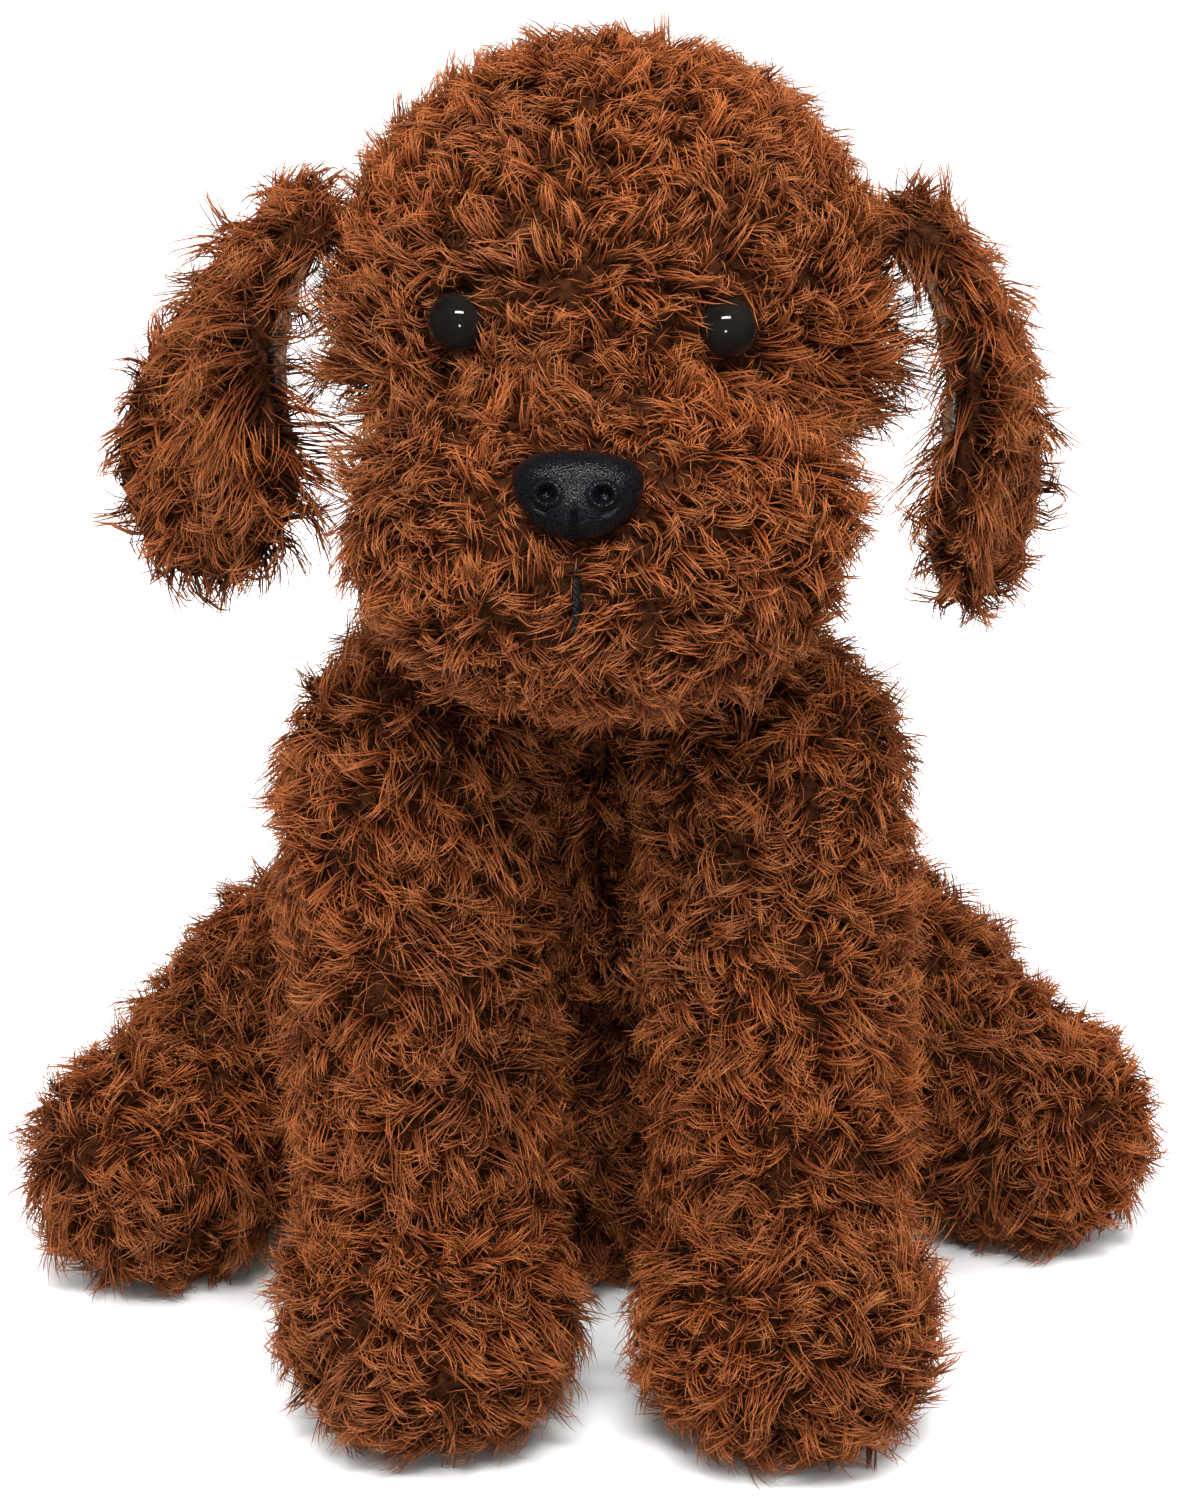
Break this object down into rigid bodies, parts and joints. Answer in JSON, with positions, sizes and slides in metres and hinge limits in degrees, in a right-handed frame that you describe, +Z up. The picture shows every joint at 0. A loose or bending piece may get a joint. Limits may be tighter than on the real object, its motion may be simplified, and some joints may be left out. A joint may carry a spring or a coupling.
{
  "type": "plush dog",
  "caption": "Sitting stuffed toy dog in curly brown pile, with sewn legs, tail and hanging ears, a big rounded muzzle, glossy eyes and a moulded nose.",
  "frame": {"origin": "on the floor, under the centre of the dog's box", "axes": "-Y the way the dog faces, +X the dog's own left, +Z up"},
  "size_m": [0.249, 0.2432, 0.283],
  "materials": {
    "curly_pile": "long curly polyester pile in clumped locks, warm brown",
    "ear_lining": "short smooth pile, tan brown",
    "fibrefill": "loose white polyester fibre",
    "bag_cloth": "plain woven cotton",
    "pellets": "round plastic pellets",
    "sewing_thread": "twisted polyester thread",
    "mouth_thread": "black embroidery thread",
    "eye_gloss": "polished black",
    "nose_satin": "satin black with a fine leather grain",
    "washer_plastic": "moulded white",
    "label_satin": "blank woven satin tape"
  },
  "bodies": {
    "torso": {"torso_skin": "curly_pile", "torso_stuffing": "fibrefill", "seat_bag": "bag_cloth", "seat_pellets": "pellets", "closing_stitch": "sewing_thread", "care_label": "label_satin", "front_leg_left_stitch": "sewing_thread", "front_leg_right_stitch": "sewing_thread", "hind_leg_left_stitch": "sewing_thread", "hind_leg_right_stitch": "sewing_thread", "tail_stitch": "sewing_thread"},
    "neck": {"neck_wad": "fibrefill"},
    "head": {"head_skin": "curly_pile", "head_stuffing": "fibrefill", "muzzle_skin": "curly_pile", "muzzle_stuffing": "fibrefill", "neck_stitch": "sewing_thread", "eye_left": "eye_gloss", "eye_right": "eye_gloss", "eye_left_washer": "washer_plastic", "eye_right_washer": "washer_plastic", "nose": "nose_satin", "nose_washer": "washer_plastic", "mouth_stitch": "mouth_thread"},
    "ear_left": {"ear_left_outer": "curly_pile", "ear_left_lining": "ear_lining"},
    "ear_right": {"ear_right_outer": "curly_pile", "ear_right_lining": "ear_lining"},
    "front_leg_left": {"front_leg_left_skin": "curly_pile", "front_leg_left_stuffing": "fibrefill"},
    "front_leg_right": {"front_leg_right_skin": "curly_pile", "front_leg_right_stuffing": "fibrefill"},
    "hind_leg_left": {"hind_leg_left_skin": "curly_pile", "hind_leg_left_stuffing": "fibrefill"},
    "hind_leg_right": {"hind_leg_right_skin": "curly_pile", "hind_leg_right_stuffing": "fibrefill"},
    "tail": {"tail_skin": "curly_pile", "tail_stuffing": "fibrefill"}
  },
  "joints": [
    {"name": "head_turn", "type": "hinge", "parent": "torso", "child": "neck", "pos_m": [0.0035, -0.0304, 0.168], "axis": [0, 0, 1], "range_deg": [-25, 25], "stiffness_Nm_per_rad": 0.4},
    {"name": "head_nod", "type": "hinge", "parent": "neck", "child": "head", "pos_m": [0.0035, -0.0304, 0.168], "axis": [-0.9966, 0.0819, 0], "range_deg": [-3, 20], "stiffness_Nm_per_rad": 1.2, "springref_deg": 0.8},
    {"name": "ear_left_flap", "type": "hinge", "parent": "head", "child": "ear_left", "pos_m": [0.06229, -0.04026, 0.246], "axis": [0.1271, -0.9919, 0], "range_deg": [0, 75]},
    {"name": "ear_right_flap", "type": "hinge", "parent": "head", "child": "ear_right", "pos_m": [-0.05611, -0.03052, 0.246], "axis": [-0.1616, 0.9869, 0], "range_deg": [0, 75]},
    {"name": "front_leg_left_swing", "type": "hinge", "parent": "torso", "child": "front_leg_left", "pos_m": [0.0355, -0.0484, 0.135], "axis": [-1, 0, 0], "range_deg": [0, 45], "stiffness_Nm_per_rad": 0.08},
    {"name": "front_leg_right_swing", "type": "hinge", "parent": "torso", "child": "front_leg_right", "pos_m": [-0.0365, -0.0484, 0.135], "axis": [-1, 0, 0], "range_deg": [0, 45], "stiffness_Nm_per_rad": 0.08},
    {"name": "hind_leg_left_lift", "type": "hinge", "parent": "torso", "child": "hind_leg_left", "pos_m": [0.0605, 0.0316, 0.05], "axis": [-0.3417, -0.9398, 0], "range_deg": [0, 40], "stiffness_Nm_per_rad": 0.08},
    {"name": "hind_leg_right_lift", "type": "hinge", "parent": "torso", "child": "hind_leg_right", "pos_m": [-0.0615, 0.0316, 0.05], "axis": [-0.6954, 0.7186, 0], "range_deg": [0, 40], "stiffness_Nm_per_rad": 0.08},
    {"name": "tail_wag", "type": "hinge", "parent": "torso", "child": "tail", "pos_m": [-0.0005, 0.0856, 0.042], "axis": [0, 0, 1], "range_deg": [-30, 30], "stiffness_Nm_per_rad": 0.02}
  ]
}
